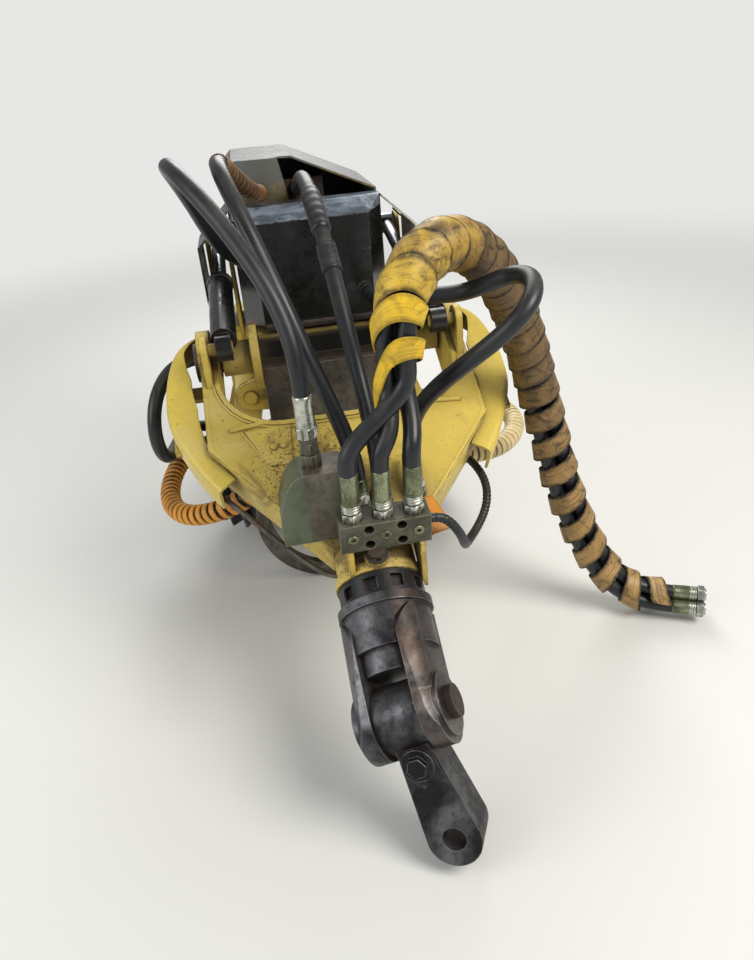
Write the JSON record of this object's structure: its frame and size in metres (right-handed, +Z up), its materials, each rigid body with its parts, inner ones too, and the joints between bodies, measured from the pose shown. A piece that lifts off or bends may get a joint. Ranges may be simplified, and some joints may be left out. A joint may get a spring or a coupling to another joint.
{
  "type": "harvester head",
  "caption": "Felling and processing head with tilt yoke, rotator and hanger link, curved delimbing knives, ribbed feed rollers, saw box and arching hydraulic hoses.",
  "frame": {"origin": "on the ground under the middle of the head's length, link included, as it lies on its closed knives", "axes": "+X is the head's right, +Y runs along the girder from the rotator's end to the saw's, +Z is up"},
  "size_m": [1.5118, 2.1942, 1.3238],
  "materials": {
    "yellow_paint": "worn satin",
    "cream_paint": "worn satin",
    "black_paint": "dusty satin",
    "worn_steel": "worn",
    "plate_steel": "worn",
    "rusty_steel": "rusty",
    "chrome_rod": "polished",
    "zinc_plate": "satin",
    "rubber": "matt",
    "orange_guard": "dirty satin",
    "pale_guard": "dirty satin"
  },
  "bodies": {
    "frame": {"main_frame": "yellow_paint", "top_knife": "plate_steel", "knife_lugs": "yellow_paint", "hood": "black_paint", "valve_cover": "plate_steel", "valve_block": "rusty_steel", "wing_l": "black_paint", "wing_r": "cream_paint", "pivot_pins": "plate_steel", "wheel_bracket": "black_paint", "saw_box": "yellow_paint", "saw_motor": "black_paint", "cylinder_brackets": "yellow_paint", "hose_left_back": "rubber", "spiral_left": "orange_guard", "spiral_right": "pale_guard"},
    "yoke": {"tilt_yoke": "yellow_paint", "side_guard_l": "yellow_paint", "side_guard_r": "yellow_paint", "block_bracket": "yellow_paint", "hose_block": "plate_steel", "hose_fittings": "zinc_plate", "gland_box": "plate_steel", "rotator_ring": "black_paint", "hose_bundle": "orange_guard", "hose_tails": "rubber", "hose_ends": "zinc_plate", "hose_left_outer": "rubber", "hose_left_inner": "rubber", "hose_middle": "rubber", "hose_right_loop": "rubber", "conduit_right": "rubber"},
    "rotator": {"rotator_fork": "worn_steel", "fork_pin": "rusty_steel"},
    "link": {"hanger_link": "worn_steel"},
    "barrel_left": {"barrel_l": "black_paint"},
    "barrel_right": {"barrel_r": "black_paint"},
    "rod_left": {"rod_l": "chrome_rod"},
    "rod_right": {"rod_r": "chrome_rod"},
    "front_knife_left": {"front_knife_l": "plate_steel"},
    "front_knife_right": {"front_knife_r": "plate_steel"},
    "rear_knife_left": {"rear_knife_l": "plate_steel"},
    "rear_knife_right": {"rear_knife_r": "plate_steel"},
    "feed_arm_left": {"feed_arm_l": "yellow_paint", "feed_motor_l": "black_paint"},
    "feed_arm_right": {"feed_arm_r": "yellow_paint", "feed_motor_r": "black_paint"},
    "roller_left": {"feed_roller_l": "worn_steel"},
    "roller_right": {"feed_roller_r": "worn_steel"},
    "wheel": {"measuring_wheel": "plate_steel"},
    "bar": {"saw_bar": "plate_steel"}
  },
  "joints": [
    {"name": "tilt", "type": "hinge", "parent": "frame", "child": "yoke", "pos_m": [0, -0.033, 0.8], "axis": [-1, 0, 0], "range_deg": [-3, 110], "deforming": ["hose_bundle", "hose_tails", "hose_ends", "hose_left_outer", "hose_left_inner", "hose_middle", "hose_right_loop", "conduit_right"]},
    {"name": "rotate", "type": "hinge", "parent": "yoke", "child": "rotator", "pos_m": [0, -0.033, 0.8], "axis": [0, -0.866, -0.5], "range_deg": [-180, 180]},
    {"name": "link_swing", "type": "hinge", "parent": "rotator", "child": "link", "pos_m": [0, -0.91115, 0.293], "axis": [0.8829, -0.2347, 0.4066], "range_deg": [-115, 45]},
    {"name": "barrel_left_swing", "type": "hinge", "parent": "yoke", "child": "barrel_left", "pos_m": [-0.275, -0.15424, 0.87], "axis": [-1, 0, 0], "range_deg": [-108, 3]},
    {"name": "barrel_right_swing", "type": "hinge", "parent": "yoke", "child": "barrel_right", "pos_m": [0.275, -0.15424, 0.87], "axis": [-1, 0, 0], "range_deg": [-108, 3]},
    {"name": "rod_left_slide", "type": "slide", "parent": "barrel_left", "child": "rod_left", "axis": [0, 0.9823, 0.1874], "range_m": [-0.231, 0.007]},
    {"name": "rod_right_slide", "type": "slide", "parent": "barrel_right", "child": "rod_right", "axis": [0, 0.9823, 0.1874], "range_m": [-0.231, 0.007]},
    {"name": "front_knife_left_swing", "type": "hinge", "parent": "frame", "child": "front_knife_left", "pos_m": [-0.244, 0.062, 0.455], "axis": [0, 1, 0], "range_deg": [0, 60]},
    {"name": "front_knife_right_swing", "type": "hinge", "parent": "frame", "child": "front_knife_right", "pos_m": [0.244, 0.062, 0.455], "axis": [0, -1, 0], "range_deg": [0, 60]},
    {"name": "rear_knife_left_swing", "type": "hinge", "parent": "frame", "child": "rear_knife_left", "pos_m": [-0.244, 0.787, 0.455], "axis": [0, 1, 0], "range_deg": [0, 60]},
    {"name": "rear_knife_right_swing", "type": "hinge", "parent": "frame", "child": "rear_knife_right", "pos_m": [0.244, 0.787, 0.455], "axis": [0, -1, 0], "range_deg": [0, 60]},
    {"name": "feed_arm_left_swing", "type": "hinge", "parent": "frame", "child": "feed_arm_left", "pos_m": [-0.246, 0.417, 0.56], "axis": [0, 1, 0], "range_deg": [0, 45], "deforming": ["hose_left_back", "spiral_left", "spiral_right"]},
    {"name": "feed_arm_right_swing", "type": "hinge", "parent": "frame", "child": "feed_arm_right", "pos_m": [0.246, 0.417, 0.56], "axis": [0, -1, 0], "range_deg": [0, 45]},
    {"name": "roller_left_spin", "type": "hinge", "parent": "feed_arm_left", "child": "roller_left", "pos_m": [-0.262, 0.417, 0.215], "axis": [-0.1736, 0, 0.9848], "continuous": true},
    {"name": "roller_right_spin", "type": "hinge", "parent": "feed_arm_right", "child": "roller_right", "pos_m": [0.262, 0.417, 0.215], "axis": [0.1736, 0, 0.9848], "continuous": true},
    {"name": "wheel_spin", "type": "hinge", "parent": "frame", "child": "wheel", "pos_m": [0, 0.647, 0.354], "axis": [1, 0, 0], "continuous": true},
    {"name": "saw_swing", "type": "hinge", "parent": "frame", "child": "bar", "pos_m": [0.262, 1.032, 0.562], "axis": [0, -1, 0], "range_deg": [0, 85]}
  ],
  "couplings": [
    {"joint": "barrel_left_swing", "follows": "tilt", "ratio": -0.9817},
    {"joint": "barrel_right_swing", "follows": "tilt", "ratio": -0.9817},
    {"joint": "rod_left_slide", "follows": "tilt", "m_per_rad": -0.11996},
    {"joint": "rod_right_slide", "follows": "tilt", "m_per_rad": -0.11996},
    {"joint": "front_knife_right_swing", "follows": "front_knife_left_swing", "ratio": 1},
    {"joint": "rear_knife_right_swing", "follows": "rear_knife_left_swing", "ratio": 1},
    {"joint": "feed_arm_right_swing", "follows": "feed_arm_left_swing", "ratio": 1}
  ]
}
